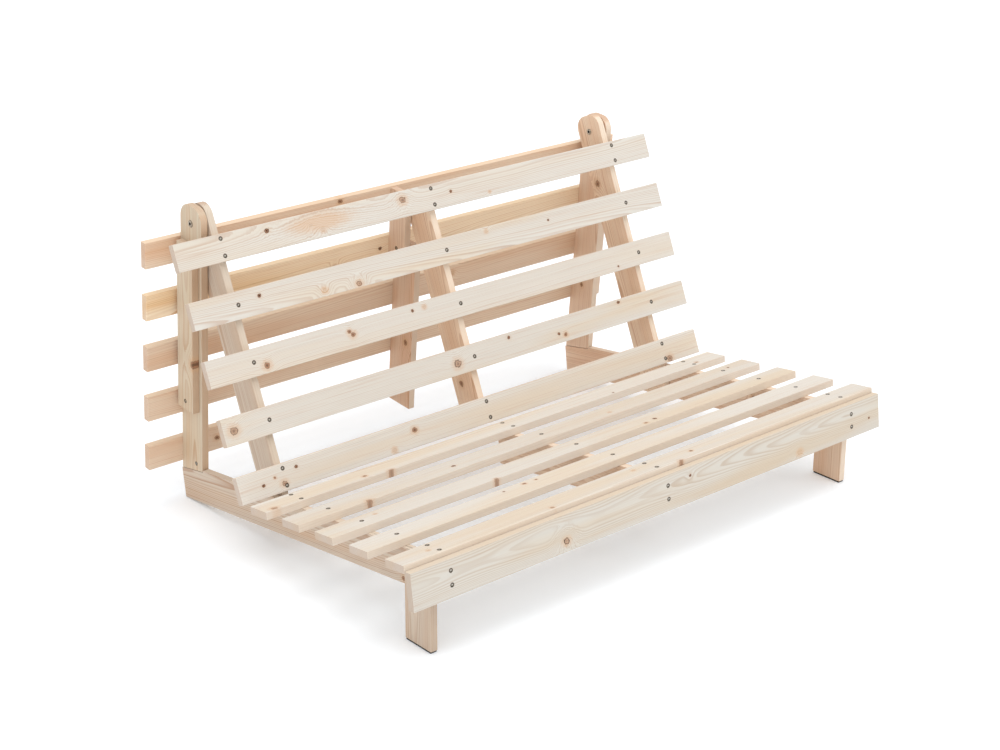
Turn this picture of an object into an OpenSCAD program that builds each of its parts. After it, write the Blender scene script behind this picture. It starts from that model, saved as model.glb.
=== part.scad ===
// Slatted tri-fold sofa-bed frame in planed softwood, standing in its sofa position.
// +Z is up, the front of the seat faces -Y, and the origin is on the floor
// under the middle of the frame.

/* [Boards] */
// Length of every slat and of the front board
slat_len = 1600; // [1300:10:2000]
// Width of a slat
slat_w = 70; // [60:1:75]
// Width of the rails, posts, legs and front board
rail_w = 94; // [88:1:100]
// Thickness of every board
board_t = 20; // [18:0.5:22]

/* [Seat] */
// Slope of the seat, front edge high
seat_tilt = 7.5; // [6:0.1:9]
// Length of the two outer seat rails
seat_rail_len = 1100; // [1090:5:1130]
// Spacing of the seat slats
seat_pitch = 135.3; // [120:0.1:137]
// Gap between the front board and the first slat
seat_front_gap = 1.5; // [1:0.5:3]
// How far the front board stands above the rails
front_board_rise = 7; // [0:1:12]
// How far the slats reach past the outer faces of the seat rails
slat_overhang = 103; // [80:1:160]
// Distance from the front end of a rail to the back's hinge, along the rail
hinge_u = 697.5; // [690:0.5:705]

/* [Back] */
// Lean of the back from upright
back_lean = 23.2; // [22.5:0.1:23.5]
// Hinge to the lower edge of the lowest back slat
back_first = 44.5; // [40:0.5:50]
// Spacing of the back slats
back_pitch = 147.1; // [140:0.1:148]
// Hinge to the top bolt
back_to_apex = 745.8; // [742:0.1:750]
// Wood above the top bolt
top_end = 47; // [44:1:56]
// Radius of the two rounded corners above the top bolt
top_corner_r = 37; // [25:1:44]

/* [Rear panel] */
// Lean of the rear posts, top towards the front
rear_lean = 4.8; // [4:0.1:6]
// Top bolt to the upper edge of the highest rear slat
rear_first = 47.4; // [47:0.1:60]
// Spacing of the rear slats
rear_pitch = 142.2; // [136:0.1:142.5]
// Fall of the post's foot and of its seat in the rail, towards the rear
foot_fall = 10.4; // [10.2:0.1:13]
// Depth of the seat in the rail below its top edge, at the front of the post
foot_depth = 4; // [2:0.5:6]
// Length of the battens on the outside of the posts
post_batten_len = 461; // [400:1:461]
// Length of the batten that lengthens the middle upright
middle_batten_len = 235; // [200:1:260]

/* [Fixings] */
// Radius of the hinge, top and leg bolts
bolt_r = 3; // [2.5:0.1:3.5]
// Radius of the flat round heads of the bolts and cap nuts
head_r = 8.5; // [7:0.5:9]
// Radius of a slat screw's shank
screw_r = 2.2; // [1.5:0.1:2.5]
// Radius of a slat screw's head
screw_head_r = 4.8; // [3.5:0.1:5]
// Gap that the washers hold between boards that turn on each other
layer_gap = 2.5; // [1.5:0.5:4]

/* [Hidden] */
$fn = 48;
half_w = rail_w / 2;
half_t = board_t / 2;
running = 0.05;
past = 1;
slats_per_panel = 5;
screw_pair = 22;
screw_in_rail = 16;
board_screw_len = 70;
batten_screw_in = 15;
foot_screw_len = 16;
screw_head_h = 3;
recess_len = 1.1 * screw_head_r;
recess_w = 1.2;
recess_depth = 1.6;
glide_t = 4;
glide_inset = [1, 2];
foot_clear = 1;
foot_play = 1.5;
leg_setback = 11;
leg_gap = 2.5;
board_screw_drop = [22.5, 57.5];
washer_r = 9;
head_h = 2;
head_edge = 0.6;
socket_r = 2.8;
socket_depth = 3.5;
barrel_wall = 1.3;
barrel_len = 13;
bolt_short = 4;
bolt_end_gap = 1;
shank_lap = 0.5;
barrel_r = bolt_r + barrel_wall;
leg_top_drop = 4;
middle_shift = 1.5;
middle_top_drop = 196;
middle_foot_drop = 5;
back_middle_drop = 4;
far = 400;

// Places of the three rails and their neighbours across the frame
seat_x = slat_len / 2 - slat_overhang - half_t;
back_x = seat_x - board_t - layer_gap;
leg_x = seat_x + board_t + leg_gap;
batten_x = seat_x + board_t;

// Height of the rails' top edge at the front, so that their rear corners touch the floor
rail_front_z = seat_rail_len * sin(seat_tilt) + rail_w * cos(seat_tilt);

// A point of the seat, from its distance back along the rail and its height above the rail
function seat_pt(u, v) = [
    u * cos(seat_tilt) + v * sin(seat_tilt),
    rail_front_z - u * sin(seat_tilt) + v * cos(seat_tilt)
];
hinge = seat_pt(hinge_u, -half_w);
apex = hinge + back_to_apex * [sin(back_lean), cos(back_lean)];

// The frame is centred front to back between the front board and the lowest rear slat
rear_face = half_w + board_t;
rear_bottom = rear_first + (slats_per_panel - 1) * rear_pitch + slat_w;
front_y = seat_pt(-board_t, front_board_rise - rail_w)[0];
rear_y = apex[0] + rear_face * cos(rear_lean) + rear_bottom * sin(rear_lean);
mid_y = (front_y + rear_y) / 2;

// Where the front edge of a rear post crosses the top edge of the seat rail
post_front = apex - half_w * [cos(rear_lean), sin(rear_lean)];
seat_origin = seat_pt(0, 0);
post_front_v = (post_front - seat_origin) * [sin(seat_tilt), cos(seat_tilt)];
post_front_u = (post_front - seat_origin) * [cos(seat_tilt), -sin(seat_tilt)];
foot_z = (-foot_depth - post_front_v) / cos(rear_lean + seat_tilt);
foot_u = post_front_u - foot_z * sin(rear_lean + seat_tilt);
middle_foot_z = -(rear_bottom + middle_foot_drop);
foot_screw_at = [19, 13];

// Tops of the battens, and where their screws are
batten_top_drop = 3;
batten_top = -rear_first - batten_top_drop;
batten_screw_top = 40;
batten_screw_end = 25;
middle_screw_y = 12;
middle_screw_drop = 20;
middle_batten_z = [
    batten_top - middle_batten_len + batten_screw_end,
    -middle_top_drop - middle_screw_drop
];

// Lowest slat of the back and highest slat of the rear panel, and the rest by their spacing
function seat_slat_u(i) = seat_front_gap + (slats_per_panel - i) * seat_pitch;
function back_slat_z(i) = back_first + (slats_per_panel - i) * back_pitch;
function rear_slat_z(i) = -rear_first - slat_w - (i - 1) * rear_pitch;

// Screws across a slat's width: a pair on the first and last slat, one on the others
function screw_offsets(i) = (i == 1 || i == slats_per_panel)
    ? [slat_w / 2 - screw_pair, slat_w / 2 + screw_pair]
    : [slat_w / 2];
function rear_screw_x(i) = [-seat_x, i == 1 ? -middle_shift - board_t : -middle_shift, seat_x];

pine = [0.87, 0.76, 0.60];
pine_dark = [0.80, 0.66, 0.50];
screw_grey = [0.30, 0.29, 0.27];
steel = [0.62, 0.62, 0.60];
glide_black = [0.08, 0.08, 0.08];

// Frames of the three panels
module in_seat() {
    translate([0, -mid_y, rail_front_z]) rotate([-seat_tilt, 0, 0]) children();
}
module in_back() {
    translate([0, hinge[0] - mid_y, hinge[1]]) rotate([-back_lean, 0, 0]) children();
}
module in_rear() {
    translate([0, apex[0] - mid_y, apex[1]]) rotate([rear_lean, 0, 0]) children();
}

// A board standing on edge: centred on x, from y0 to y1 and z0 to z1
module board(x, y0, y1, z0, z1) {
    translate([x - half_t, y0, z0]) cube([board_t, y1 - y0, z1 - z0]);
}

// A board lying along z, centred on y, its upper corners rounded
module round_topped(x, z0, z1) {
    corner_y = half_w - top_corner_r;
    board(x, -half_w, half_w, z0, z1 - top_corner_r);
    board(x, -corner_y, corner_y, z1 - top_corner_r, z1);
    for (y = [-corner_y, corner_y]) disc(x, y, z1 - top_corner_r, top_corner_r);
}

// A board-thick disc across x
module disc(x, y, z, r) {
    translate([x - half_t, y, z]) rotate([0, 90, 0]) cylinder(r = r, h = board_t, $fn = 96);
}

// A hole along x
module cross_hole(x, y, z, r, length) {
    translate([x - length / 2, y, z]) rotate([0, 90, 0]) cylinder(r = r, h = length);
}

// A countersunk screw with a cross recess, its head flush with z = 0 and its shank below;
// with grow it is the wider hole that the screw sits in
module screw(length, grow = 0) {
    shank_h = length + grow;
    difference() {
        union() {
            translate([0, 0, -shank_h]) cylinder(r = screw_r + grow, h = shank_h - screw_head_h / 2);
            translate([0, 0, -screw_head_h]) {
                cylinder(r1 = screw_r + grow, r2 = screw_head_r + grow, h = screw_head_h);
            }
        }
        if (grow == 0) for (turn = [0, 90]) rotate(turn) {
            translate([-recess_len / 2, -recess_w / 2, -recess_depth])
                cube([recess_len, recess_w, recess_depth + past]);
        }
    }
}

// Screws of one seat slat, one back slat and one rear slat, in their panel's frame
module seat_screws(i, grow = 0) {
    for (x = [-seat_x, 0, seat_x], d = screw_offsets(i)) {
        translate([x, seat_slat_u(i) + d, board_t]) screw(board_t + screw_in_rail, grow);
    }
}
module back_screws(i, grow = 0) {
    for (x = [-back_x, 0, back_x], d = screw_offsets(i)) {
        translate([x, -half_w - board_t, back_slat_z(i) + d])
            rotate([90, 0, 0]) screw(board_t + screw_in_rail, grow);
    }
}
module rear_screws(i, grow = 0) {
    for (x = rear_screw_x(i), d = screw_offsets(i)) {
        translate([x, half_w + board_t, rear_slat_z(i) + d])
            rotate([-90, 0, 0]) screw(board_t + screw_in_rail, grow);
    }
}
module board_screws(grow = 0) {
    for (x = [-seat_x, 0, seat_x], drop = board_screw_drop) {
        translate([x, -board_t, -drop]) rotate([90, 0, 0]) screw(board_screw_len, grow);
    }
}

// Screws that hold the battens, driven along x from the batten's outer face
module side_batten_screws(side, grow = 0) {
    for (z = [batten_top - batten_screw_top, batten_top - post_batten_len + batten_screw_end]) {
        translate([side * (batten_x + half_t), 0, z])
            rotate([0, side * 90, 0]) screw(board_t + batten_screw_in, grow);
    }
}
module middle_batten_screws(grow = 0) {
    for (z = middle_batten_z) {
        translate([-middle_shift - board_t - half_t, middle_screw_y, z])
            rotate([0, -90, 0]) screw(board_t + batten_screw_in, grow);
    }
}
module foot_screw(side, grow = 0) {
    translate([side * (seat_x + half_t), -foot_screw_at[0], foot_z + foot_screw_at[1]])
        rotate([0, side * 90, 0]) screw(foot_screw_len, grow);
}

// A flat round head with a hexagonal socket, its back face on x = 0 and its top towards -x
module flat_head(through) {
    rotate([0, 90, 0]) difference() {
        union() {
            translate([0, 0, -head_h]) cylinder(r1 = head_r - head_edge, r2 = head_r, h = head_edge);
            translate([0, 0, head_edge - head_h]) cylinder(r = head_r, h = head_h - head_edge);
            cylinder(r = through, h = socket_depth);
        }
        translate([0, 0, -head_h - past]) cylinder(r = socket_r, h = socket_depth + past, $fn = 6);
    }
}

// A bolt along x through the layers between two faces, its head on the outer one
module bolt_between(side, x_out, x_in) {
    mirror([side > 0 ? 1 : 0, 0, 0]) translate([-x_out, 0, 0]) {
        flat_head(bolt_r);
        translate([socket_depth - shank_lap, 0, 0]) rotate([0, 90, 0]) {
            cylinder(r = bolt_r, h = x_out - x_in - bolt_short - socket_depth + shank_lap);
        }
    }
}

// A cap nut with its head on the inner face and its barrel in the wood around the bolt
module cap_nut(side, x_in) {
    mirror([side > 0 ? 0 : 1, 0, 0]) translate([x_in, 0, 0]) {
        difference() {
            union() {
                flat_head(bolt_r);
                rotate([0, 90, 0]) cylinder(r = barrel_r, h = barrel_len);
            }
            rotate([0, 90, 0]) translate([0, 0, bolt_short - bolt_end_gap]) {
                cylinder(r = bolt_r + running, h = barrel_len);
            }
            rotate([0, 90, 0]) translate([0, 0, -head_h - past]) {
                cylinder(r = socket_r, h = head_h + bolt_short + past, $fn = 6);
            }
        }
    }
}

// A washer between two layers, its outer face at x_out
module washer(side, x_out, thick) {
    translate([side * (x_out - thick / 2), 0, 0]) rotate([0, 90, 0]) difference() {
        cylinder(r = washer_r, h = thick, center = true);
        cylinder(r = bolt_r + running, h = 2 * thick, center = true);
    }
}

// Places along x of the bolted layers, measured out from the middle
hinge_head = seat_x + half_t;
hinge_gap = seat_x - half_t;
hinge_inner = back_x - half_t;
leg_head = leg_x + half_t;
leg_inner = seat_x - half_t;
washer_slack = 0.1;
leg_pivot_y = leg_setback + half_w;
leg_bolt_dz = [-24, 18];
leg_pivot_z = rail_front_z - half_w * cos(seat_tilt) - leg_pivot_y * tan(seat_tilt);
leg_top_z = rail_front_z - (leg_setback + rail_w) * tan(seat_tilt) - leg_top_drop;

module seat_rail(side) {
    color(pine_dark) difference() {
        in_seat() difference() {
            board(side * seat_x, 0, seat_rail_len, -rail_w, 0);
            cross_hole(side * seat_x, hinge_u, -half_w, bolt_r + running, rail_w);
            translate([side * seat_x - rail_w, foot_u - foot_play, -foot_depth - foot_clear])
                rotate([seat_tilt - foot_fall, 0, 0]) cube([2 * rail_w, far, far]);
            for (i = [1 : slats_per_panel]) seat_screws(i, running);
            board_screws(running);
        }
        leg_holes(barrel_r);
    }
}
module seat_rail_middle() {
    color(pine_dark) in_seat() difference() {
        board(0, 0, seat_slat_u(1) + slat_w, -rail_w, 0);
        for (i = [1 : slats_per_panel]) seat_screws(i, running);
        board_screws(running);
    }
}
module seat_slat(i) {
    color(pine) in_seat() difference() {
        translate([-slat_len / 2, seat_slat_u(i), 0]) cube([slat_len, slat_w, board_t]);
        seat_screws(i, running);
    }
}
module front_board() {
    color(pine) in_seat() difference() {
        translate([-slat_len / 2, -board_t, front_board_rise - rail_w]) cube([slat_len, board_t, rail_w]);
        board_screws(running);
    }
}

// Front legs: upright boards outside the seat rails, bolted through them
module leg_holes(r) {
    for (dz = leg_bolt_dz, side = [-1, 1]) {
        translate([side * seat_x, leg_pivot_y - mid_y, leg_pivot_z + dz])
            rotate([0, 90, 0]) cylinder(r = r + running, h = rail_w, center = true);
    }
}
module front_leg(side) {
    color(pine_dark) difference() {
        translate([side * leg_x - half_t, leg_setback - mid_y, glide_t])
            cube([board_t, rail_w, leg_top_z - glide_t]);
        leg_holes(bolt_r);
    }
}
module leg_glide(side) {
    color(glide_black)
        translate([side * leg_x - half_t + glide_inset[0], leg_setback + glide_inset[1] - mid_y, 0])
            cube([board_t - 2 * glide_inset[0], rail_w - 2 * glide_inset[1], glide_t]);
}
module at_leg_bolts() {
    for (dz = leg_bolt_dz) translate([0, leg_pivot_y - mid_y, leg_pivot_z + dz]) children();
}

module back_rail(side) {
    color(pine_dark) in_back() difference() {
        union() {
            round_topped(side * back_x, 0, back_to_apex + top_end);
            disc(side * back_x, 0, 0, half_w);
        }
        cross_hole(side * back_x, 0, 0, barrel_r + running, rail_w);
        cross_hole(side * back_x, 0, back_to_apex, barrel_r + running, rail_w);
        for (i = [1 : slats_per_panel]) back_screws(i, running);
    }
}
module back_rail_middle() {
    color(pine_dark) in_back() difference() {
        board(0, -half_w, half_w, back_first, back_slat_z(1) + slat_w - back_middle_drop);
        for (i = [1 : slats_per_panel]) back_screws(i, running);
    }
}
module back_slat(i) {
    color(pine) in_back() difference() {
        translate([-slat_len / 2, -half_w - board_t, back_slat_z(i)]) cube([slat_len, board_t, slat_w]);
        back_screws(i, running);
    }
}

module rear_post(side) {
    color(pine_dark) in_rear() difference() {
        round_topped(side * seat_x, foot_z - half_w, top_end);
        translate([side * seat_x, -half_w, foot_z]) rotate([-foot_fall - rear_lean, 0, 0])
            translate([-rail_w, -far / 2, -far]) cube([2 * rail_w, 2 * far, far]);
        cross_hole(side * seat_x, 0, 0, bolt_r + running, rail_w);
        for (i = [1 : slats_per_panel]) rear_screws(i, running);
        side_batten_screws(side, running);
        foot_screw(side, running);
    }
}
module rear_upright_middle() {
    color(pine_dark) in_rear() difference() {
        board(-middle_shift, -half_w, half_w, middle_foot_z, -middle_top_drop);
        for (i = [1 : slats_per_panel]) rear_screws(i, running);
        middle_batten_screws(running);
    }
}
module rear_batten_middle() {
    color(pine_dark) in_rear() difference() {
        board(-middle_shift - board_t, half_w - slat_w, half_w, batten_top - middle_batten_len, batten_top);
        rear_screws(1, running);
        middle_batten_screws(running);
    }
}
module post_batten(side) {
    color(pine_dark) in_rear() difference() {
        board(side * batten_x, -slat_w / 2, slat_w / 2, batten_top - post_batten_len, batten_top);
        side_batten_screws(side, running);
    }
}
module rear_slat(i) {
    color(pine) in_rear() difference() {
        translate([-slat_len / 2, half_w, rear_slat_z(i)]) cube([slat_len, board_t, slat_w]);
        rear_screws(i, running);
    }
}

module seat_slat_screws() {
    color(screw_grey) in_seat() for (i = [1 : slats_per_panel]) seat_screws(i);
}
module front_board_screws() {
    color(screw_grey) in_seat() board_screws();
}
module back_slat_screws() {
    color(screw_grey) in_back() for (i = [1 : slats_per_panel]) back_screws(i);
}
module rear_slat_screws() {
    color(screw_grey) in_rear() for (i = [1 : slats_per_panel]) rear_screws(i);
}
module batten_screws() {
    color(screw_grey) in_rear() {
        side_batten_screws(-1);
        side_batten_screws(1);
        middle_batten_screws();
    }
}
module post_foot_screws() {
    color(screw_grey) in_rear() for (side = [-1, 1]) foot_screw(side);
}

module hinge_bolts() {
    color(steel) in_seat() translate([0, hinge_u, -half_w])
        for (side = [-1, 1]) bolt_between(side, hinge_head, hinge_inner);
}
module hinge_washers() {
    color(steel) in_seat() translate([0, hinge_u, -half_w])
        for (side = [-1, 1]) washer(side, hinge_gap - washer_slack, layer_gap - 2 * washer_slack);
}
module hinge_cap_nuts() {
    color(steel) in_seat() translate([0, hinge_u, -half_w])
        for (side = [-1, 1]) cap_nut(side, hinge_inner - washer_slack);
}
module apex_bolts() {
    color(steel) in_rear() for (side = [-1, 1]) bolt_between(side, hinge_head, hinge_inner);
}
module apex_washers() {
    color(steel) in_rear() for (side = [-1, 1]) {
        washer(side, hinge_gap - washer_slack, layer_gap - 2 * washer_slack);
    }
}
module apex_cap_nuts() {
    color(steel) in_rear() for (side = [-1, 1]) cap_nut(side, hinge_inner - washer_slack);
}
module leg_bolts() {
    color(steel) at_leg_bolts() for (side = [-1, 1]) bolt_between(side, leg_head, leg_inner);
}
module leg_washers() {
    color(steel) at_leg_bolts() for (side = [-1, 1]) {
        washer(side, leg_x - half_t - washer_slack, leg_gap - 2 * washer_slack);
    }
}
module leg_cap_nuts() {
    color(steel) at_leg_bolts() for (side = [-1, 1]) cap_nut(side, leg_inner);
}

seat_rail(-1);  // seat_rail_left
seat_rail_middle();
seat_rail(1);  // seat_rail_right
for (i = [1 : slats_per_panel]) {
    seat_slat(i);
    back_slat(i);
    rear_slat(i);
}
front_board();
front_leg(-1);  // front_leg_left
front_leg(1);  // front_leg_right
leg_glide(-1);  // leg_glide_left
leg_glide(1);  // leg_glide_right
back_rail(-1);  // back_rail_left
back_rail_middle();
back_rail(1);  // back_rail_right
rear_post(-1);  // rear_post_left
rear_post(1);  // rear_post_right
rear_upright_middle();
rear_batten_middle();
post_batten(-1);  // post_batten_left
post_batten(1);  // post_batten_right
seat_slat_screws();
front_board_screws();
back_slat_screws();
rear_slat_screws();
batten_screws();
post_foot_screws();
hinge_bolts();
hinge_washers();
hinge_cap_nuts();
apex_bolts();
apex_washers();
apex_cap_nuts();
leg_bolts();
leg_washers();
leg_cap_nuts();
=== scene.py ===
"""Looks of the slatted sofa-bed frame: pine boards, steel fixings, a pale studio."""
import math
import random

import bmesh
import bpy
from mathutils import Matrix, Vector


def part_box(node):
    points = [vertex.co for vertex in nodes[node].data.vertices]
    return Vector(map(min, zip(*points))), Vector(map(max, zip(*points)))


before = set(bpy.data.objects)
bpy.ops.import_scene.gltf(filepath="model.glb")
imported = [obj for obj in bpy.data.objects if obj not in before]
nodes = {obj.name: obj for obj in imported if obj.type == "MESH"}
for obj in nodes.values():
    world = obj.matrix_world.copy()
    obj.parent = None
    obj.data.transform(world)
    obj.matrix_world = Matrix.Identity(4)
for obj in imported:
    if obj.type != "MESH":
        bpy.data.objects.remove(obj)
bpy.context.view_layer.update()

# Leans of the panels about X, as they stand in the sofa position, and of the upright legs
LEAN = {
    "seat": math.radians(-7.5),
    "back": math.radians(-23.2),
    "rear": math.radians(4.8),
    "leg": 0.0,
}

# Photographic camera: place, heading, downward tilt, roll and focal length
CAMERA_AT = Vector((-3.1967, -3.6316, 2.3093))
HEADING = math.radians(40.79)
DOWN = math.radians(22.195)
ROLL = math.radians(0.32)
LENS_MM = 71.8
SENSOR_MM = 36.0
FAR_CLIP = 200.0

# Studio: floor, world and one large overhead source
FLOOR_SIZE = 60.0
FLOOR_COLOUR = (0.92, 0.95, 0.98, 1.0)
FLOOR_ROUGHNESS = 0.9
FLOOR_SPECULAR = 0.1
FLOOR_GLOW = 0.07
DAYLIGHT = (0.97, 0.985, 1.0, 1.0)
WORLD_STRENGTH = 0.84
LIGHT_DIRECTION = (0.0, 0.30, -0.95)
LIGHT_SOFTNESS_DEG = 65.0
LIGHT_POWER = 1.68

# Vertices closer than this, in metres, are one
WELD = 0.00001


# ---------------------------------------------------------------- shader helpers
class Graph:
    """Short calls for building a node tree."""

    def __init__(self, tree):
        self.tree = tree
        self.links = tree.links

    def add(self, kind, **values):
        node = self.tree.nodes.new(kind)
        for key, value in values.items():
            setattr(node, key, value)
        return node

    def feed(self, socket, value):
        if isinstance(value, bpy.types.NodeSocket):
            self.links.new(value, socket)
        else:
            socket.default_value = value

    def math(self, operation, a, b=0.0, clamp=False):
        node = self.add("ShaderNodeMath", operation=operation, use_clamp=clamp)
        for socket, value in zip(node.inputs, (a, b)):
            self.feed(socket, value)
        return node.outputs[0]

    def smooth(self, value, low, high, to_low=0.0, to_high=1.0):
        node = self.add("ShaderNodeMapRange", interpolation_type="SMOOTHSTEP")
        for name, v in (("Value", value), ("From Min", low), ("From Max", high),
                        ("To Min", to_low), ("To Max", to_high)):
            self.feed(node.inputs[name], v)
        return node.outputs["Result"]

    def noise(self, vector, scale, detail=2.0, rough=0.5):
        node = self.add("ShaderNodeTexNoise")
        self.feed(node.inputs["Vector"], vector)
        self.feed(node.inputs["Scale"], scale)
        self.feed(node.inputs["Detail"], detail)
        self.feed(node.inputs["Roughness"], rough)
        return node.outputs["Fac"]

    def split(self, vector):
        node = self.add("ShaderNodeSeparateXYZ")
        self.feed(node.inputs[0], vector)
        return node.outputs[0], node.outputs[1], node.outputs[2]

    def join(self, x, y, z):
        node = self.add("ShaderNodeCombineXYZ")
        for socket, value in zip(node.inputs, (x, y, z)):
            self.feed(socket, value)
        return node.outputs[0]

    def scale(self, vector, factors):
        node = self.add("ShaderNodeVectorMath", operation="MULTIPLY")
        self.feed(node.inputs[0], vector)
        self.feed(node.inputs[1], factors)
        return node.outputs[0]

    def shift(self, vector, by):
        node = self.add("ShaderNodeVectorMath", operation="ADD")
        self.feed(node.inputs[0], vector)
        self.feed(node.inputs[1], by)
        return node.outputs[0]

    def mix(self, factor, a, b, blend="MIX"):
        node = self.add("ShaderNodeMix", data_type="RGBA", blend_type=blend)
        self.feed(node.inputs["Factor"], factor)
        self.feed(node.inputs[6], a)
        self.feed(node.inputs[7], b)
        return node.outputs[2]


def blank_material(name):
    """A node material with nothing in it yet, and the graph to fill it with."""
    mat = bpy.data.materials.new(name)
    mat.use_nodes = True
    mat.node_tree.nodes.clear()
    return mat, Graph(mat.node_tree)


def to_surface(g, shader):
    """Joins a shader to the material's output."""
    output = g.add("ShaderNodeOutputMaterial")
    g.links.new(shader.outputs[0], output.inputs["Surface"])


def rgb(r, g, b):
    """Display values 0-255 as a linear colour."""
    def linear(v):
        v /= 255.0
        return v / 12.92 if v <= 0.04045 else ((v + 0.055) / 1.055) ** 2.4
    return (linear(r), linear(g), linear(b), 1.0)


# ---------------------------------------------------------------- pine
END = rgb(188, 158, 134)
KNOT_RIM_AND_HEAD_SHADE = rgb(62, 42, 30)
KNOT_WOOD = rgb(154, 104, 72)
KNOT_HALO = rgb(208, 164, 122)

# Noise per metre along, across and through the board: the trunk's wander, the rings' ripples, fine
# fibres, streaks of summer wood and clouds of warmer tone; and the ripples' height in metres
WANDER_GRID = (1.6, 3.0, 3.0)
RIPPLE_GRID = (4.0, 40.0, 40.0)
FIBRE_GRID = (14.0, 900.0, 900.0)
STREAK_GRID = (3.5, 170.0, 170.0)
CLOUD_GRID = (1.3, 16.0, 16.0)
RIPPLE = 0.0014

# Ranges of each board's own draw: noise seed, the pith's depth in metres, its skew and dip, and the tone
SEEDS = (0, 40)
PITH_DEPTH = (0.03, 0.07)
SKEW = (-0.012, 0.012)
DIP = (-0.02, 0.02)
TONE = (0.97, 1.02)

# The planed surface: sheen, and strength and depth in metres of its relief
PINE_SPECULAR = 0.25
RELIEF_STRENGTH = 0.25
RELIEF_DEPTH = 0.0006

MM_PER_M = 1000.0

# Base of the push's fall away from a knot, and noise per metre of a knot's uneven outline
FALL_BASE = 2.718
KNOT_WOBBLE = 140.0

# Palettes of the boards: spring wood, summer wood, warm streaks and narrow edges, the last being painted
# light and shade on those edges; then the ranges of the rings' strength, of their width in metres, of the
# pith's distance to the side in metres, and of the streaks' strength; and how far the trunk wanders, in
# metres. The rail, leg, post, inner, blond, rear and honey palettes are warmer than the slats' partly from
# the wood's own tone and partly as painted warm shade
WOODS = {
    "slat": (rgb(215, 209, 199), rgb(184, 150, 124), rgb(216, 197, 170), rgb(221, 203, 184),
             (0.40, 0.66), (0.0022, 0.0036), (0.030, 0.080), (0.3, 0.8), 0.014),
    "front": (rgb(208, 201, 190), rgb(176, 148, 120), rgb(206, 184, 154), rgb(216, 196, 172),
              (0.60, 0.60), (0.0019, 0.0019), (0.016, 0.020), (0.6, 0.6), 0.030),
    "rail": (rgb(208, 191, 172), rgb(168, 122, 90), rgb(206, 170, 136), rgb(212, 198, 180),
             (0.6, 0.9), (0.0026, 0.0040), (0.014, 0.050), (0.4, 0.8), 0.02),
    "leg": (rgb(208, 191, 172), rgb(168, 122, 90), rgb(206, 170, 136), rgb(182, 158, 136),
            (0.7, 0.7), (0.0032, 0.0032), (0.014, 0.030), (0.5, 0.5), 0.02),
    "post": (rgb(212, 196, 172), rgb(180, 130, 90), rgb(214, 178, 138), rgb(196, 160, 130),
             (0.45, 0.55), (0.0026, 0.0032), (0.006, 0.014), (0.4, 0.6), 0.03),
    "inner": (rgb(228, 200, 174), rgb(184, 130, 96), rgb(222, 176, 140), rgb(226, 212, 194),
              (0.6, 0.9), (0.0026, 0.0038), (0.010, 0.050), (0.3, 0.7), 0.02),
    "blond": (rgb(240, 214, 187), rgb(194, 142, 106), rgb(230, 188, 152), rgb(228, 214, 196),
              (0.6, 0.9), (0.0026, 0.0038), (0.010, 0.050), (0.3, 0.7), 0.02),
    "rear": (rgb(231, 208, 184), rgb(194, 144, 108), rgb(218, 172, 134), rgb(222, 198, 170),
             (0.4, 0.7), (0.0026, 0.0040), (0.020, 0.070), (0.3, 0.8), 0.02),
    "honey": (rgb(252, 231, 202), rgb(216, 170, 122), rgb(238, 196, 142), rgb(230, 204, 170),
              (0.4, 0.7), (0.0026, 0.0040), (0.020, 0.070), (0.5, 0.8), 0.02),
}

# How strongly a knot shows its wood, rim, dark core, halo, and its push on the rings around it;
# and how short it is along the board, next to its width
KNOT_KINDS = {
    "dot": (0.9, 1.0, 1.0, 0.4, 0.6, 0.85),
    "ring": (0.5, 0.6, 0.45, 0.8, 1.6, 0.85),
    "eye": (0.45, 0.95, 0.25, 0.8, 2.4, 0.85),
    "red": (0.75, 0.4, 0.6, 0.9, 1.0, 0.85),
    "side": (0.55, 0.2, 0.25, 0.7, 0.4, 0.85),
    "pale": (0.05, 0.15, 0.1, 0.9, 1.8, 0.85),
    "flame": (0.0, 0.0, 0.0, 1.0, 1.0, 0.24),
}


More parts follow.
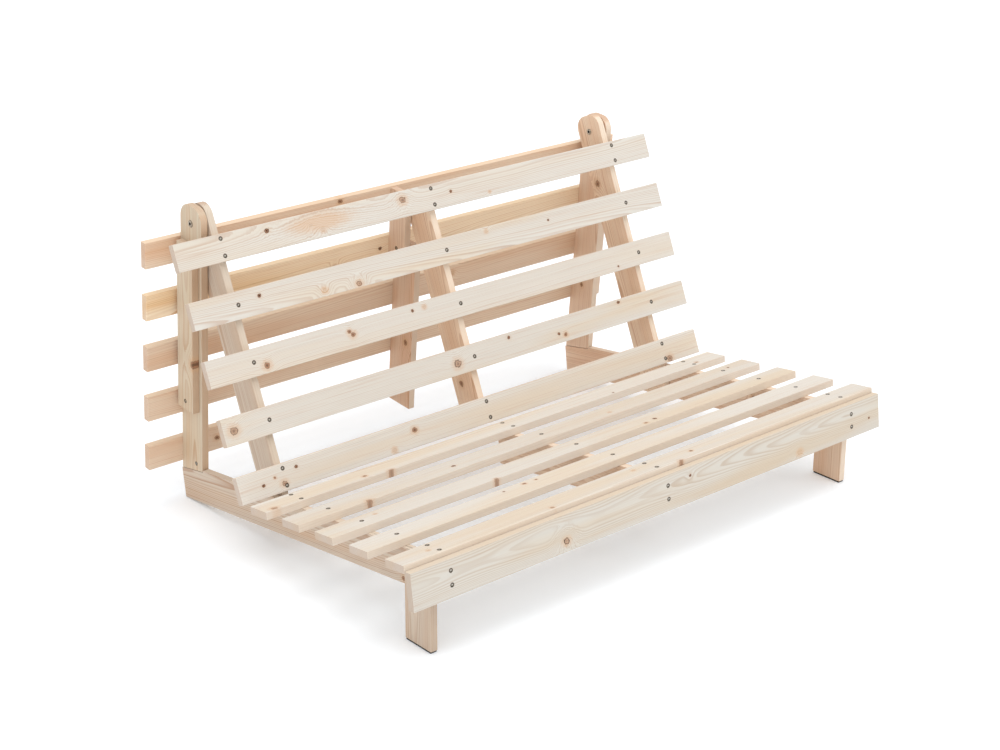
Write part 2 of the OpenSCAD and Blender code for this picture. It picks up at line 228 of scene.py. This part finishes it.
def knot_group():
    """One knot's reach at a point of the board: its wood, dark rim, halo, and push on the grain."""
    tree = bpy.data.node_groups.new("knot", "ShaderNodeTree")
    face = tree.interface
    face.new_socket("Vector", in_out="INPUT", socket_type="NodeSocketVector")
    for name in ("Along", "Across", "Radius", "Wood", "Rim", "Core", "Halo", "Push", "Short"):
        face.new_socket(name, in_out="INPUT", socket_type="NodeSocketFloat")
    for name in ("Wood", "Rim", "Halo", "Push"):
        face.new_socket(name, in_out="OUTPUT", socket_type="NodeSocketFloat")
    g = Graph(tree)
    inp = g.add("NodeGroupInput").outputs
    out = g.add("NodeGroupOutput").inputs
    along, across, _ = g.split(inp["Vector"])
    wobble = g.noise(inp["Vector"], KNOT_WOBBLE, 1.0)
    dx = g.math("MULTIPLY", g.math("SUBTRACT", along, inp["Along"]), inp["Short"])
    dy = g.math("SUBTRACT", across, inp["Across"])
    far = g.math("SQRT", g.math("ADD", g.math("MULTIPLY", dx, dx), g.math("MULTIPLY", dy, dy)))
    uneven = g.math("MULTIPLY", g.math("SUBTRACT", wobble, 0.5), g.math("MULTIPLY", inp["Radius"], 0.9))
    near = g.math("DIVIDE", g.math("ADD", far, uneven), inp["Radius"])
    g.feed(out["Wood"], g.math("MULTIPLY", g.smooth(near, 1.0, 0.75), inp["Wood"]))
    off_rim = g.math("ABSOLUTE", g.math("SUBTRACT", near, 0.85))
    rim = g.math("MULTIPLY", g.smooth(off_rim, 0.2, 0.02), inp["Rim"])
    core = g.math("MULTIPLY", g.smooth(near, 0.6, 0.15), inp["Core"])
    g.feed(out["Rim"], g.math("MAXIMUM", rim, core))
    g.feed(out["Halo"], g.math("MULTIPLY", g.smooth(near, 2.6, 0.8), inp["Halo"]))
    fall = g.math("POWER", FALL_BASE, g.math("MULTIPLY", g.math("MULTIPLY", near, near), -0.09))
    g.feed(out["Push"], g.math("MULTIPLY", fall, g.math("MULTIPLY", inp["Radius"], inp["Push"])))
    return tree


def spot_group():
    """A round spot with a soft edge: the painted shade round a screw's or bolt's head on the wood, the
    painted highlight in a screw head's middle and the painted shade of a bolt's socket.
    """
    tree = bpy.data.node_groups.new("spot", "ShaderNodeTree")
    face = tree.interface
    face.new_socket("Vector", in_out="INPUT", socket_type="NodeSocketVector")
    for name in ("Along", "Across", "Inner", "Outer"):
        face.new_socket(name, in_out="INPUT", socket_type="NodeSocketFloat")
    face.new_socket("Spot", in_out="OUTPUT", socket_type="NodeSocketFloat")
    g = Graph(tree)
    inp = g.add("NodeGroupInput").outputs
    out = g.add("NodeGroupOutput").inputs
    along, across, _ = g.split(inp["Vector"])
    dx = g.math("SUBTRACT", along, inp["Along"])
    dy = g.math("SUBTRACT", across, inp["Across"])
    far = g.math("SQRT", g.math("ADD", g.math("MULTIPLY", dx, dx), g.math("MULTIPLY", dy, dy)))
    g.feed(out["Spot"], g.smooth(far, inp["Outer"], inp["Inner"]))
    return tree


def spots(g, vector, places, inner, outer):
    """The same round spot at each place, as one mask."""
    mask = 0.0
    for along, across in places:
        spot = g.add("ShaderNodeGroup", node_tree=SPOT)
        for key, value in (("Vector", vector), ("Along", along), ("Across", across),
                           ("Inner", inner), ("Outer", outer)):
            g.feed(spot.inputs[key], value)
        mask = g.math("MAXIMUM", mask, spot.outputs["Spot"])
    return mask


def turned(g, vector, kind, location, lean, order):
    """A vector in the frame of a board or a fixing: lean taken off, axes as length, width, thickness."""
    mapping = g.add("ShaderNodeMapping", vector_type=kind)
    g.feed(mapping.inputs["Vector"], vector)
    if kind == "TEXTURE":
        mapping.inputs["Location"].default_value = location
        mapping.inputs["Rotation"].default_value = (lean, 0.0, 0.0)
    else:
        mapping.inputs["Rotation"].default_value = (-lean, 0.0, 0.0)
    parts = g.split(mapping.outputs[0])
    return g.join(*(parts[i] for i in order))


def turned_point(at, lean, order):
    """The same turn for a point."""
    away = Matrix.Rotation(-lean, 3, "X") @ at
    return [away[i] for i in order]


def pine_group():
    """Growth rings cut by the board's faces, from the distance to a pith that runs slightly askew."""
    tree = bpy.data.node_groups.new("pine", "ShaderNodeTree")
    face = tree.interface
    for name in ("Vector", "Seed", "Facing"):
        face.new_socket(name, in_out="INPUT", socket_type="NodeSocketVector")
    for name in ("Early", "Late", "Heart", "Edge shading"):
        face.new_socket(name, in_out="INPUT", socket_type="NodeSocketColor")
    for name in ("Pith across", "Pith deep", "Skew", "Dip", "Wander", "Ring", "Grain", "Warm", "Tone",
                 "Wood", "Rim", "Halo", "Push", "Head shade"):
        face.new_socket(name, in_out="INPUT", socket_type="NodeSocketFloat")
    face.new_socket("Color", in_out="OUTPUT", socket_type="NodeSocketColor")
    for name in ("Roughness", "Height"):
        face.new_socket(name, in_out="OUTPUT", socket_type="NodeSocketFloat")
    g = Graph(tree)
    inp = g.add("NodeGroupInput").outputs
    out = g.add("NodeGroupOutput").inputs
    along, across, deep = g.split(inp["Vector"])
    seeded = g.shift(inp["Vector"], inp["Seed"])

    # wander of the trunk along its length, and small ripples of the rings
    wander = g.noise(g.scale(seeded, WANDER_GRID), 1.0, 2.0)
    ripple = g.noise(g.scale(seeded, RIPPLE_GRID), 1.0, 2.0)
    a = g.math("SUBTRACT", across, inp["Pith across"])
    a = g.math("SUBTRACT", a, g.math("MULTIPLY", along, inp["Skew"]))
    d = g.math("SUBTRACT", deep, inp["Pith deep"])
    d = g.math("SUBTRACT", d, g.math("MULTIPLY", along, inp["Dip"]))
    d = g.math("ADD", d, g.math("MULTIPLY", g.math("SUBTRACT", wander, 0.5), inp["Wander"]))
    radius = g.math("SQRT", g.math("ADD", g.math("MULTIPLY", a, a), g.math("MULTIPLY", d, d)))
    radius = g.math("ADD", radius, g.math("MULTIPLY", g.math("SUBTRACT", ripple, 0.5), RIPPLE))
    radius = g.math("ADD", radius, inp["Push"])
    turns = g.math("DIVIDE", radius, inp["Ring"])
    # uneven years: rings differ in strength
    years = g.noise(g.join(turns, inp["Ring"], 0.0), 0.9, 1.0)
    phase = g.math("FRACT", turns)
    late = g.math("MULTIPLY", g.smooth(phase, 0.3, 0.88), g.smooth(phase, 1.0, 0.92))
    late = g.math("MULTIPLY", late, g.smooth(years, 0.25, 0.75, 0.15, 1.0))

    # fine fibres along the board, and slow streaks of warmer tone
    fibre = g.noise(g.scale(seeded, FIBRE_GRID), 1.0, 3.0, 0.6)
    streak = g.noise(g.scale(seeded, STREAK_GRID), 1.0, 3.0, 0.6)
    cloud = g.noise(g.scale(seeded, CLOUD_GRID), 1.0, 2.0)

    heart = g.math("MULTIPLY", g.smooth(cloud, 0.40, 0.70), inp["Warm"])
    colour = g.mix(heart, inp["Early"], inp["Heart"])
    # the rings stand out more in the warm wood round a knot
    grain = g.math("ADD", inp["Grain"], g.math("MULTIPLY", inp["Halo"], 0.45), clamp=True)
    colour = g.mix(g.math("MULTIPLY", late, grain), colour, inp["Late"])
    colour = g.mix(g.smooth(streak, 0.5, 0.8, 0.0, 0.45), colour, inp["Late"])
    tone = g.math("ADD", 0.88, g.math("MULTIPLY", fibre, 0.09))
    tone = g.math("ADD", tone, g.math("MULTIPLY", streak, 0.15))
    tone = g.math("MULTIPLY", tone, inp["Tone"])
    colour = g.mix(1.0, colour, g.join(tone, tone, tone), "MULTIPLY")

    # narrow edges take the palette's edge colour, painted light and shade: paler where they face the light
    # on the rails and inner boards, warmer on the slats and front board, darker on the leg, posts and rear
    # slats where they lie in shade
    facing_along, facing_across, _ = g.split(inp["Facing"])
    narrow = g.smooth(g.math("ABSOLUTE", facing_across), 0.6, 0.85)
    colour = g.mix(g.math("MULTIPLY", narrow, 0.6), colour, inp["Edge shading"])

    # cut ends drink light: darker, with the rings standing out
    cut = g.smooth(g.math("ABSOLUTE", facing_along), 0.6, 0.85)
    cut_colour = g.mix(g.math("MULTIPLY", late, 0.6), END, inp["Late"])
    colour = g.mix(g.math("MULTIPLY", cut, 0.5), colour, cut_colour)

    colour = g.mix(g.math("MULTIPLY", inp["Halo"], 0.5), colour, KNOT_HALO)
    colour = g.mix(inp["Wood"], colour, KNOT_WOOD)
    colour = g.mix(inp["Rim"], colour, KNOT_RIM_AND_HEAD_SHADE)
    # painted shade: the wood round each fixing's head darkened towards the knot rim's colour
    colour = g.mix(g.math("MULTIPLY", inp["Head shade"], 0.9), colour, KNOT_RIM_AND_HEAD_SHADE)
    g.feed(out["Color"], colour)
    g.feed(out["Roughness"], g.math("ADD", 0.52, g.math("MULTIPLY", fibre, 0.16)))
    height = g.math("ADD", g.math("MULTIPLY", fibre, 0.5), g.math("MULTIPLY", late, 0.35))
    height = g.math("ADD", height, g.math("MULTIPLY", inp["Rim"], -0.8))
    g.feed(out["Height"], height)
    return tree


KNOT = knot_group()
SPOT = spot_group()
PINE = pine_group()


def board_frame(name):
    """Centre, lean and axis order (length, width, thickness) of a board, from its name and its CAD box."""
    low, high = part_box(name)
    panel = name.split("_")[0]
    panel = {"front": "seat", "post": "rear"}.get(panel, panel)
    if name.startswith("front_leg"):
        panel = "leg"
    if "slat" in name:
        order = (0, 1, 2) if panel == "seat" else (0, 2, 1)
    elif name == "front_board":
        order = (0, 2, 1)
    elif panel == "seat":
        order = (1, 2, 0)
    else:
        order = (2, 1, 0)
    return (low + high) / 2, LEAN[panel], order


def wood_of(name):
    """Which palette a board has: the slats are the palest; the inner boards and rear slats are redder,
    partly their own tone and partly painted warm shade for boards that stand in shade.
    """
    if name == "front_board":
        return WOODS["front"]
    if name == "rear_slat_2":
        return WOODS["honey"]
    if name.startswith("rear_slat"):
        return WOODS["rear"]
    if name == "front_leg_left":
        return WOODS["leg"]
    if name in ("rear_post_left", "post_batten_left"):
        return WOODS["post"]
    if "slat" in name:
        return WOODS["slat"]
    if name in ("back_rail_middle", "back_rail_right"):
        return WOODS["blond"]
    if "middle" in name or name.endswith("right"):
        return WOODS["inner"]
    return WOODS["rail"]


def middles(name):
    """Middle of each separate solid in a node of fixings, in metres."""
    mesh = bmesh.new()
    mesh.from_mesh(nodes[name].data)
    bmesh.ops.remove_doubles(mesh, verts=mesh.verts, dist=WELD)
    left = set(mesh.verts)
    centres = []
    while left:
        to_visit = [left.pop()]
        island = list(to_visit)
        while to_visit:
            vert = to_visit.pop()
            for edge in vert.link_edges:
                other = edge.other_vert(vert)
                if other in left:
                    left.remove(other)
                    island.append(other)
                    to_visit.append(other)
        low = Vector(min(v.co[i] for v in island) for i in range(3))
        high = Vector(max(v.co[i] for v in island) for i in range(3))
        centres.append((low + high) / 2)
    mesh.free()
    return centres


# Boards by how their names start, the fixings whose heads lie on them, and the kind of painted shade ring
# round each head
HEADS_ON = [
    ("seat_slat", "seat_slat_screws", "screw"),
    ("back_slat", "back_slat_screws", "screw"),
    ("rear_slat", "rear_slat_screws", "screw"),
    ("front_board", "front_board_screws", "screw"),
    ("post_batten", "batten_screws", "screw"),
    ("rear_batten", "batten_screws", "screw"),
    ("rear_post", "post_foot_screws", "screw"),
    ("rear_post", "apex_bolts", "bolt"),
    ("seat_rail", "hinge_bolts", "bolt"),
    ("front_leg", "leg_bolts", "bolt"),
]
# Inner and outer radius of the painted shade round each head, in metres
HEAD_SHADE_RING = {"screw": (0.0050, 0.0066), "bolt": (0.0088, 0.0100)}
# A head belongs to a board when it is this close to its middle line, across and through, in metres
NEAR_ACROSS = 0.047
NEAR_DEEP = 0.05
PLACES = {fixing: middles(fixing) for _, fixing, _ in HEADS_ON}


def head_marks(name, centre, lean, order):
    """Along and across of each head on a board's face, in metres, under the kind of painted shade round
    it.
    """
    low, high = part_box(name)
    marks = {"screw": [], "bolt": []}
    for start, fixing, kind in HEADS_ON:
        if not name.startswith(start):
            continue
        for at in PLACES[fixing]:
            along, across, deep = turned_point(at - centre, lean, order)
            near = abs(across) < NEAR_ACROSS and abs(deep) < NEAR_DEEP
            if near and abs(along) < max(high - low) / 2:
                marks[kind].append((along, across))
    return marks


def head_side(name, centre):
    """Which face of a board the heads are on: the sign of its thickness axis there."""
    if name.startswith(("seat_slat", "rear_slat")):
        return 1.0
    if name.startswith(("back_slat", "front_board")):
        return -1.0
    return math.copysign(1.0, centre.x)


def pine(name, knots, rng):
    """One board's own pine: where its pith ran, its ring width, tone, knots, and the painted shade round
    its screw and bolt heads.
    """
    centre, lean, order = board_frame(name)
    early, late, heart, edge, grain, ring, aside, warm, wander = wood_of(name)
    mat, g = blank_material("pine_" + name)
    coords = g.add("ShaderNodeTexCoord")

    local = turned(g, coords.outputs["Object"], "TEXTURE", centre, lean, order)
    facing = turned(g, coords.outputs["Normal"], "NORMAL", None, lean, order)

    wood, rim, halo, push = 0.0, 0.0, 0.0, 0.0
    for along, across, radius, kind in knots:
        knot = g.add("ShaderNodeGroup", node_tree=KNOT)
        g.feed(knot.inputs["Vector"], local)
        sizes = (along / MM_PER_M, across / MM_PER_M, radius / MM_PER_M)
        for key, value in zip(("Along", "Across", "Radius"), sizes):
            g.feed(knot.inputs[key], value)
        for key, value in zip(("Wood", "Rim", "Core", "Halo", "Push", "Short"), KNOT_KINDS[kind]):
            g.feed(knot.inputs[key], value)
        wood = g.math("MAXIMUM", wood, knot.outputs["Wood"])
        rim = g.math("MAXIMUM", rim, knot.outputs["Rim"])
        halo = g.math("MAXIMUM", halo, knot.outputs["Halo"])
        push = g.math("ADD", push, knot.outputs["Push"])
    # painted shade: a dark ring on the board's face round each screw and bolt head
    marks = head_marks(name, centre, lean, order)
    screw_marks = spots(g, local, marks["screw"], *HEAD_SHADE_RING["screw"])
    bolt_marks = spots(g, local, marks["bolt"], *HEAD_SHADE_RING["bolt"])
    head_shade = g.math("MAXIMUM", screw_marks, bolt_marks)
    _, _, deep = g.split(local)
    head_face = g.math("GREATER_THAN", g.math("MULTIPLY", deep, head_side(name, centre)), 0.0)
    head_shade = g.math("MULTIPLY", head_shade, head_face)

    group = g.add("ShaderNodeGroup", node_tree=PINE)
    side = rng.choice((-1.0, 1.0))
    values = {
        "Vector": local,
        "Facing": facing,
        "Seed": (rng.uniform(*SEEDS), rng.uniform(*SEEDS), rng.uniform(*SEEDS)),
        "Early": early,
        "Late": late,
        "Heart": heart,
        "Edge shading": edge,
        "Pith across": side * rng.uniform(*aside),
        "Pith deep": rng.choice((-1.0, 1.0)) * rng.uniform(*PITH_DEPTH),
        "Skew": rng.uniform(*SKEW),
        "Dip": rng.uniform(*DIP),
        "Wander": wander,
        "Ring": rng.uniform(*ring),
        "Grain": rng.uniform(*grain),
        "Warm": rng.uniform(*warm),
        "Tone": rng.uniform(*TONE),
        "Wood": wood,
        "Rim": rim,
        "Halo": halo,
        "Push": push,
        "Head shade": head_shade,
    }
    for key, value in values.items():
        g.feed(group.inputs[key], value)
    shader = g.add("ShaderNodeBsdfPrincipled")
    g.feed(shader.inputs["Base Color"], group.outputs["Color"])
    g.feed(shader.inputs["Roughness"], group.outputs["Roughness"])
    shader.inputs["Specular IOR Level"].default_value = PINE_SPECULAR
    bump = g.add("ShaderNodeBump")
    bump.inputs["Strength"].default_value = RELIEF_STRENGTH
    bump.inputs["Distance"].default_value = RELIEF_DEPTH
    g.feed(bump.inputs["Height"], group.outputs["Height"])
    g.feed(shader.inputs["Normal"], bump.outputs["Normal"])
    to_surface(g, shader)
    return mat


# The knots that give a board its face, in round numbers: along and across from the board's middle and
# radius, in mm, and kind
LANDMARKS = {
    "back_slat_1": [(-100, 10, 9, "ring"), (-370, 5, 13, "flame"), (-530, 15, 6, "dot")],
    "back_slat_2": [(-300, -25, 7, "ring"), (-600, 10, 5, "dot")],
    "back_slat_3": [(-360, 0, 7, "red"), (-630, -15, 8, "red")],
    "back_slat_4": [(-60, -5, 10, "ring"), (-770, 0, 10, "ring")],
    "back_slat_5": [(-250, 10, 7, "red"), (-670, -15, 7, "ring"), (680, -25, 9, "ring")],
    "seat_slat_1": [(-770, -25, 8, "side"), (-420, -35, 7, "side")],
    "seat_slat_2": [(-590, -35, 7, "side")],
    "seat_slat_3": [(-300, -35, 6, "side")],
    "seat_slat_5": [(-350, -25, 5, "side"), (70, -35, 6, "side")],
    "front_board": [(-340, -20, 8, "eye"), (480, -30, 7, "pale")],
    "rear_slat_1": [(-200, 25, 7, "red")],
    "rear_slat_5": [(-590, 0, 7, "red")],
    "seat_rail_left": [(-400, -35, 6, "red")],
    "seat_rail_right": [(-230, 10, 8, "red")],
    "post_batten_left": [(-90, -35, 10, "red")],
    "back_rail_middle": [(-210, 10, 8, "red")],
    "back_rail_right": [(220, 20, 9, "red")],
    "rear_post_right": [(-160, 0, 6, "red")],
    "rear_upright_middle": [(-50, -20, 8, "red")],
}

# How many small knots a long board has besides, by how its name starts, and how far out they lie in mm
SMALL_KNOTS = {"back_slat": 4, "seat_slat": 3, "rear_slat": 2, "front_board": 2}
SMALL_REACH = (760, 27)
# Their radii in mm, and the kinds to draw from
SMALL_RADIUS = (3.0, 6.0)
SMALL_KINDS = ("dot", "dot", "red", "pale")


def knots_of(name, rng):
    """A board's landmark knots and its small ones, which are strewn at random over its length."""
    knots = list(LANDMARKS.get(name, []))
    reach_along, reach_across = SMALL_REACH
    for start, count in SMALL_KNOTS.items():
        if not name.startswith(start):
            continue
        for _ in range(count):
            along = rng.uniform(-reach_along, reach_along)
            across = rng.uniform(-reach_across, reach_across)
            radius = rng.uniform(*SMALL_RADIUS)
            knots.append((along, across, radius, rng.choice(SMALL_KINDS)))
    return knots


# Easing of the boards' and the glides' edges in metres, and the segments of each
BOARD_EASING = (0.0016, 3)
GLIDE_EASING = (0.0008, 2)
# Faces this flat, in degrees, are one, and edges sharper than this are eased
FLAT_DEG = 0.5
SHARP_DEG = 60
NORMALS_WEIGHT = 100


def ease_edges(obj, width, steps):
    """Rounds the long edges of a planed board, leaving the screw holes' cones as they are."""
    weld = obj.modifiers.new("weld", "WELD")
    weld.merge_threshold = WELD
    flat = obj.modifiers.new("flat faces", "DECIMATE")
    flat.decimate_type = "DISSOLVE"
    flat.angle_limit = math.radians(FLAT_DEG)
    bevel = obj.modifiers.new("eased edges", "BEVEL")
    bevel.width = width
    bevel.segments = steps
    bevel.limit_method = "ANGLE"
    bevel.angle_limit = math.radians(SHARP_DEG)
    bevel.use_clamp_overlap = False
    bevel.harden_normals = False
    normals = obj.modifiers.new("normals", "WEIGHTED_NORMAL")
    normals.mode = "FACE_AREA"
    normals.weight = NORMALS_WEIGHT
    normals.keep_sharp = False


BOARD_WORDS = ("rail", "slat", "board", "leg", "post", "upright", "batten")
SMALL_PARTS = ("screws", "bolts", "washers", "nuts", "glide")


def is_board(name):
    """Whether a node is a wooden board, and not a fixing or a glide."""
    wooden = any(word in name for word in BOARD_WORDS)
    small = any(word in name for word in SMALL_PARTS)
    return wooden and not small


def dress(obj, material):
    """Gives a CAD object one material."""
    obj.data.materials.clear()
    obj.data.materials.append(material)


# ---------------------------------------------------------------- metal and glides
# Metal of the fixings, and noise per metre of its tarnish and of the glides' speckle
STEEL_METALLIC = 0.9
STEEL_PATCHES = 260.0
PLASTIC_SPECKS = 900.0

# How each node of fixings lies: the lean of its panel, and its axes as across, across, along the shank
SHANKS = {
    "seat_slat_screws": ("seat", (0, 1, 2)),
    "front_board_screws": ("seat", (0, 2, 1)),
    "back_slat_screws": ("back", (0, 2, 1)),
    "rear_slat_screws": ("rear", (0, 2, 1)),
}


def metal(name, finish):
    """Dull fixing steel with patches of tarnish, and another tone in the middle of each head: a painted
    highlight on the screws, painted shade in the bolts' sockets.
    """
    light, dark, middle, inner, outer, rough = finish
    panel, order = SHANKS.get(name, ("leg", (1, 2, 0)))
    lean = LEAN[panel]
    mat, g = blank_material(name.replace("_", " "))
    coords = g.add("ShaderNodeTexCoord")
    patches = g.noise(coords.outputs["Object"], STEEL_PATCHES, 3.0)
    local = turned(g, coords.outputs["Object"], "TEXTURE", (0.0, 0.0, 0.0), lean, order)
    points = [turned_point(at, lean, order) for at in middles(name)]
    places = sorted({(round(point[0], 4), round(point[1], 4)) for point in points})
    # painted highlight in each screw head's middle, painted shade in each bolt's socket
    centre = spots(g, local, places, inner, outer)
    colour = g.mix(g.smooth(patches, 0.35, 0.65), dark, light)
    shader = g.add("ShaderNodeBsdfPrincipled")
    g.feed(shader.inputs["Base Color"], g.mix(centre, colour, middle))
    g.feed(shader.inputs["Roughness"], g.smooth(patches, 0.2, 0.8, rough - 0.08, rough + 0.1))
    shader.inputs["Metallic"].default_value = STEEL_METALLIC
    to_surface(g, shader)
    return mat


def glide_plastic():
    """Matt near-black plastic with a fine speckle."""
    mat, g = blank_material("glide")
    coords = g.add("ShaderNodeTexCoord")
    speck = g.noise(coords.outputs["Object"], PLASTIC_SPECKS, 2.0)
    shader = g.add("ShaderNodeBsdfPrincipled")
    g.feed(shader.inputs["Base Color"], g.mix(speck, rgb(18, 18, 19), rgb(38, 37, 36)))
    g.feed(shader.inputs["Roughness"], g.smooth(speck, 0.2, 0.8, 0.6, 0.85))
    to_surface(g, shader)
    return mat


# Light and dark tone, painted tone of the head's middle (a painted highlight for screws, painted shade of
# the socket for bolts), that middle's inner and outer radius, and roughness
SCREW_STEEL = (rgb(122, 112, 98), rgb(78, 70, 60), rgb(226, 220, 208), 0.0014, 0.0030, 0.42)
BOLT_STEEL = (rgb(190, 176, 158), rgb(130, 116, 100), rgb(16, 13, 10), 0.0036, 0.0044, 0.36)
GLIDE = glide_plastic()

rng = random.Random(11)
knot_rng = random.Random(3)
for name in sorted(nodes):
    obj = nodes[name]
    if is_board(name):
        dress(obj, pine(name, knots_of(name, knot_rng), rng))
        ease_edges(obj, *BOARD_EASING)
    elif "screws" in name:
        dress(obj, metal(name, SCREW_STEEL))
    elif "glide" in name:
        dress(obj, GLIDE)
        ease_edges(obj, *GLIDE_EASING)
    else:
        dress(obj, metal(name, BOLT_STEEL))


# ---------------------------------------------------------------- studio
def studio_floor():
    """A wide plain floor, faintly lit from within so that it stays pale."""
    bpy.ops.mesh.primitive_plane_add(size=FLOOR_SIZE, location=(0.0, 0.0, 0.0))
    floor = bpy.context.object
    floor.name = "floor"
    mat = bpy.data.materials.new("floor")
    mat.use_nodes = True
    shader = mat.node_tree.nodes["Principled BSDF"]
    shader.inputs["Base Color"].default_value = FLOOR_COLOUR
    shader.inputs["Roughness"].default_value = FLOOR_ROUGHNESS
    shader.inputs["Specular IOR Level"].default_value = FLOOR_SPECULAR
    shader.inputs["Emission Color"].default_value = DAYLIGHT
    shader.inputs["Emission Strength"].default_value = FLOOR_GLOW
    floor.data.materials.append(mat)


def overhead_light(direction, softness_deg, power):
    """A large soft source, as wide as its angle, that lights the whole floor evenly."""
    data = bpy.data.lights.new("overhead", "SUN")
    data.angle = math.radians(softness_deg)
    data.energy = power
    lamp = bpy.data.objects.new("overhead", data)
    bpy.context.scene.collection.objects.link(lamp)
    lamp.rotation_euler = Vector(direction).to_track_quat("-Z", "Y").to_euler()


def world_light(colour, strength):
    """Even light from all round."""
    world = bpy.data.worlds.new("studio")
    bpy.context.scene.world = world
    world.use_nodes = True
    background = world.node_tree.nodes["Background"]
    background.inputs["Color"].default_value = colour
    background.inputs["Strength"].default_value = strength


def camera():
    """The scene's camera, built from its heading, tilt and roll."""
    data = bpy.data.cameras.new("camera")
    data.lens = LENS_MM
    data.sensor_width = SENSOR_MM
    data.clip_end = FAR_CLIP
    cam = bpy.data.objects.new("camera", data)
    bpy.context.scene.collection.objects.link(cam)
    level = math.cos(DOWN)
    forward = Vector((math.sin(HEADING) * level, math.cos(HEADING) * level, -math.sin(DOWN)))
    right = Vector((math.cos(HEADING), -math.sin(HEADING), 0.0))
    up = right.cross(forward)
    turned_right = right * math.cos(ROLL) + up * math.sin(ROLL)
    turned_up = up * math.cos(ROLL) - right * math.sin(ROLL)
    basis = Matrix((turned_right, turned_up, -forward)).transposed()
    cam.matrix_world = Matrix.Translation(CAMERA_AT) @ basis.to_4x4()
    bpy.context.scene.camera = cam


studio_floor()
world_light(DAYLIGHT, WORLD_STRENGTH)
overhead_light(LIGHT_DIRECTION, LIGHT_SOFTNESS_DEG, LIGHT_POWER)
camera()

view = bpy.context.scene.view_settings
view.view_transform = "Standard"
view.look = "None"
